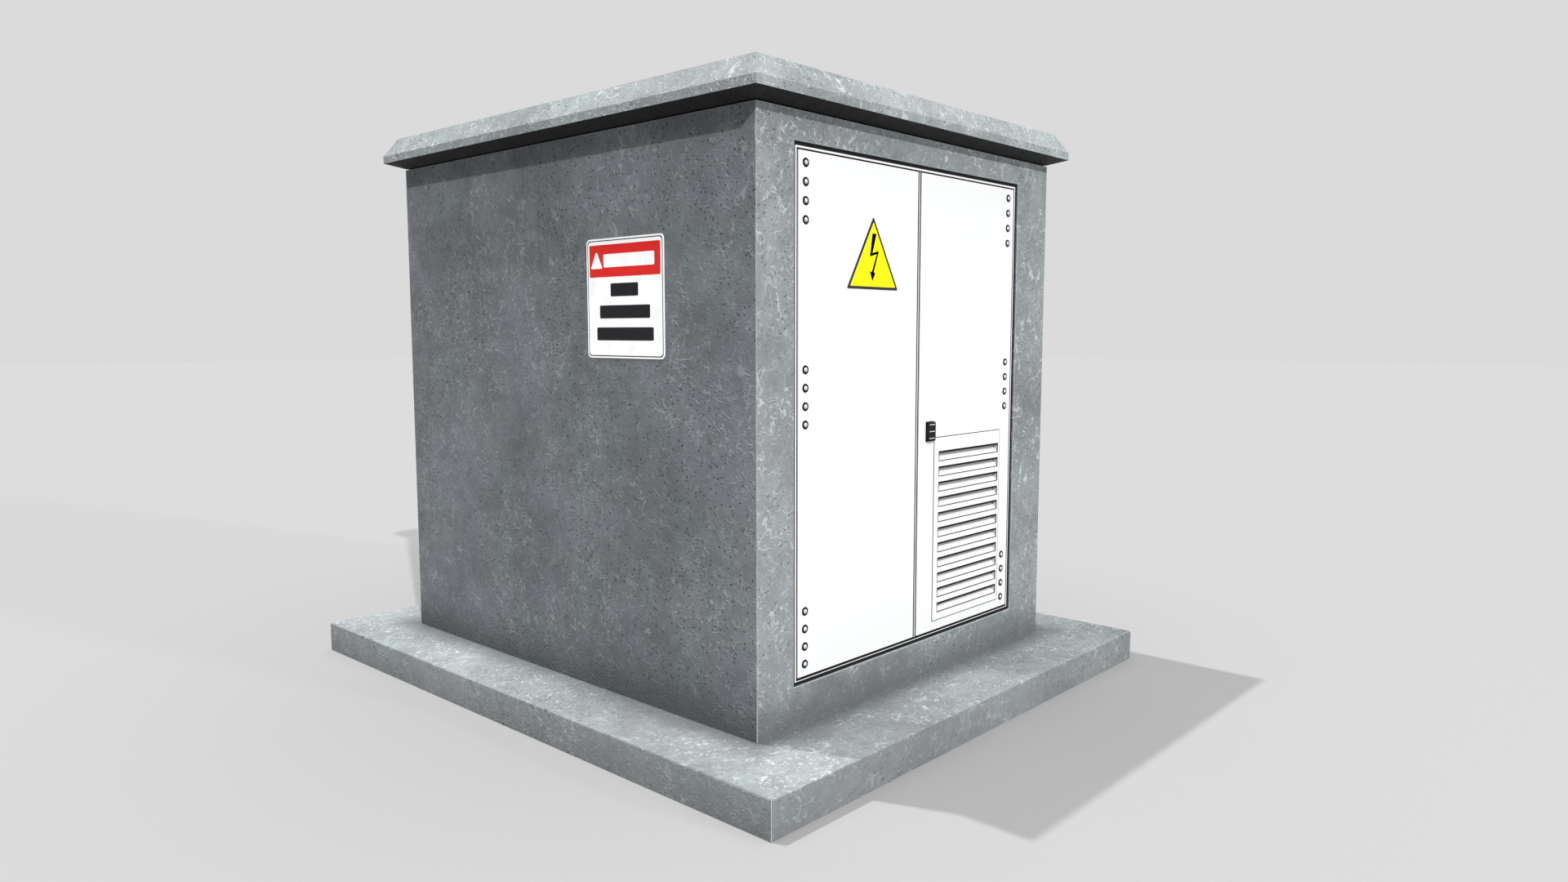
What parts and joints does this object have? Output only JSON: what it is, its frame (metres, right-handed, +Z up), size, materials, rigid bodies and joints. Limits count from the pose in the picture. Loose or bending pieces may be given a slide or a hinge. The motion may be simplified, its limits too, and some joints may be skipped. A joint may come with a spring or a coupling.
{
  "type": "pad-mounted transformer",
  "caption": "Walk-up precast concrete housing on a site pad, with white double doors, a louvred air inlet and a liquid-filled distribution transformer inside.",
  "frame": {"origin": "middle of the pad's underside", "axes": "+Z up, -Y out of the door face, +X to the right when facing the doors"},
  "size_m": [2.656, 3.126, 2.588],
  "materials": {
    "pad_concrete": "cast concrete, float finished, light grey",
    "wall_concrete": "precast concrete, mottled mid grey with fine marks",
    "roof_concrete": "precast concrete, pale grey",
    "seal_rubber": "black cellular rubber",
    "zinc_steel": "zinc-plated steel, dull",
    "white_paint": "white powder coat on sheet steel",
    "bolt_paint": "overpainted domed bolts",
    "hazard_yellow": "yellow enamel plate with a dark border and bolt mark",
    "sign_white": "white plastic sign with a red band and grey bars",
    "latch_black": "die-cast zinc alloy, black powder coat",
    "tank_green": "dull green corrosion-proof paint",
    "barrier_grey": "light grey paint on sheet steel",
    "core_steel": "stacked electrical steel laminations",
    "clamp_paint": "red-brown primer",
    "winding_foil": "insulated copper foil",
    "winding_wire": "varnished copper wire",
    "bushing_brown": "brown glazed porcelain with a tinned spade",
    "cap_red": "moulded insulating rubber",
    "fuse_black": "filled black moulding",
    "fuse_amber": "amber moulded insulation",
    "handle_red": "red enamel",
    "handle_yellow": "yellow enamel",
    "gauge_body": "turned aluminium with a white dial",
    "pointer_red": "red enamel",
    "valve_brass": "plain brass"
  },
  "bodies": {
    "root": {"foundation_pad": "pad_concrete", "front_wall": "wall_concrete", "rear_wall": "wall_concrete", "left_wall": "wall_concrete", "right_wall": "wall_concrete", "roof_seal": "seal_rubber", "roof_slab": "roof_concrete", "lifting_sockets": "zinc_steel", "corner_brackets": "zinc_steel", "anchor_bolts": "zinc_steel", "door_frame": "white_paint", "centre_post": "white_paint", "hinge_brackets": "white_paint", "hinge_pins": "zinc_steel", "side_sign": "sign_white", "compartment_barrier": "barrier_grey", "skid_base": "tank_green", "transformer_tank": "tank_green", "tank_cover": "tank_green", "cover_gasket": "seal_rubber", "cover_bolts": "zinc_steel", "rear_fins": "tank_green", "side_fins": "tank_green", "core": "core_steel", "core_clamps": "clamp_paint", "lv_coils": "winding_foil", "hv_coils": "winding_wire", "lv_bushings": "bushing_brown", "hv_bushings": "cap_red", "fuse_housings": "fuse_black", "level_gauge": "gauge_body", "relief_valve": "valve_brass", "drain_valve": "valve_brass"},
    "left_door": {"left_door_pan": "white_paint", "left_door_ribs": "white_paint", "left_hinge_straps": "white_paint", "left_hinge_bolts": "bolt_paint", "left_door_seal": "seal_rubber", "hazard_plate": "hazard_yellow"},
    "left_top_bolt": {"left_top_bolt": "zinc_steel"},
    "left_bottom_bolt": {"left_bottom_bolt": "zinc_steel"},
    "right_door": {"right_door_pan": "white_paint", "right_door_ribs": "white_paint", "right_hinge_straps": "white_paint", "right_hinge_bolts": "bolt_paint", "right_door_seal": "seal_rubber", "inlet_panel": "white_paint", "inlet_blades": "white_paint", "insect_screen": "zinc_steel", "latch_plate": "latch_black"},
    "latch": {"latch_handle": "latch_black"},
    "right_top_rod": {"right_top_rod": "zinc_steel"},
    "right_bottom_rod": {"right_bottom_rod": "zinc_steel"},
    "fuse_holder_1": {"fuse_holder_1": "fuse_amber"},
    "fuse_holder_2": {"fuse_holder_2": "fuse_amber"},
    "fuse_holder_3": {"fuse_holder_3": "fuse_amber"},
    "switch_handle": {"switch_handle": "handle_red"},
    "tap_handle": {"tap_handle": "handle_yellow"},
    "gauge_pointer": {"gauge_pointer": "pointer_red"},
    "drain_handwheel": {"drain_handwheel": "handle_red"}
  },
  "joints": [
    {"name": "left_door_hinge", "type": "hinge", "parent": "root", "child": "left_door", "pos_m": [-0.7665, -1.1825, 1.3], "axis": [0, 0, 1], "range_deg": [-100, 0]},
    {"name": "right_door_hinge", "type": "hinge", "parent": "root", "child": "right_door", "pos_m": [0.7025, -1.1825, 1.3], "axis": [0, 0, 1], "range_deg": [0, 100]},
    {"name": "left_top_bolt_slide", "type": "slide", "parent": "left_door", "child": "left_top_bolt", "axis": [0, 0, 1], "range_m": [0, 0.022]},
    {"name": "left_bottom_bolt_slide", "type": "slide", "parent": "left_door", "child": "left_bottom_bolt", "axis": [0, 0, -1], "range_m": [0, 0.022]},
    {"name": "latch_turn", "type": "hinge", "parent": "right_door", "child": "latch", "pos_m": [0.06525, -1.19, 1.21625], "axis": [0, 1, 0], "range_deg": [0, 90]},
    {"name": "right_top_rod_slide", "type": "slide", "parent": "right_door", "child": "right_top_rod", "axis": [0, 0, 1], "range_m": [0, 0.02]},
    {"name": "right_bottom_rod_slide", "type": "slide", "parent": "right_door", "child": "right_bottom_rod", "axis": [0, 0, -1], "range_m": [0, 0.02]},
    {"name": "fuse_pull_1", "type": "slide", "parent": "root", "child": "fuse_holder_1", "axis": [0, -1, 0], "range_m": [0, 0.3]},
    {"name": "fuse_pull_2", "type": "slide", "parent": "root", "child": "fuse_holder_2", "axis": [0, -1, 0], "range_m": [0, 0.3]},
    {"name": "fuse_pull_3", "type": "slide", "parent": "root", "child": "fuse_holder_3", "axis": [0, -1, 0], "range_m": [0, 0.3]},
    {"name": "switch_turn", "type": "hinge", "parent": "root", "child": "switch_handle", "pos_m": [-0.38, -0.36, 0.86], "axis": [0, -1, 0], "range_deg": [0, 90]},
    {"name": "tap_turn", "type": "hinge", "parent": "root", "child": "tap_handle", "pos_m": [-0.56, -0.36, 0.62], "axis": [0, -1, 0], "range_deg": [0, 120]},
    {"name": "gauge_pointer_turn", "type": "hinge", "parent": "root", "child": "gauge_pointer", "pos_m": [0.2, -0.357, 1.5], "axis": [0, 1, 0], "range_deg": [-60, 60]},
    {"name": "drain_wheel_turn", "type": "hinge", "parent": "root", "child": "drain_handwheel", "pos_m": [0.56, -0.39, 0.396], "axis": [0, 0, 1], "range_deg": [0, 360]}
  ],
  "couplings": [
    {"joint": "right_top_rod_slide", "follows": "latch_turn", "m_per_rad": 0.0127},
    {"joint": "right_bottom_rod_slide", "follows": "latch_turn", "m_per_rad": 0.0127}
  ]
}
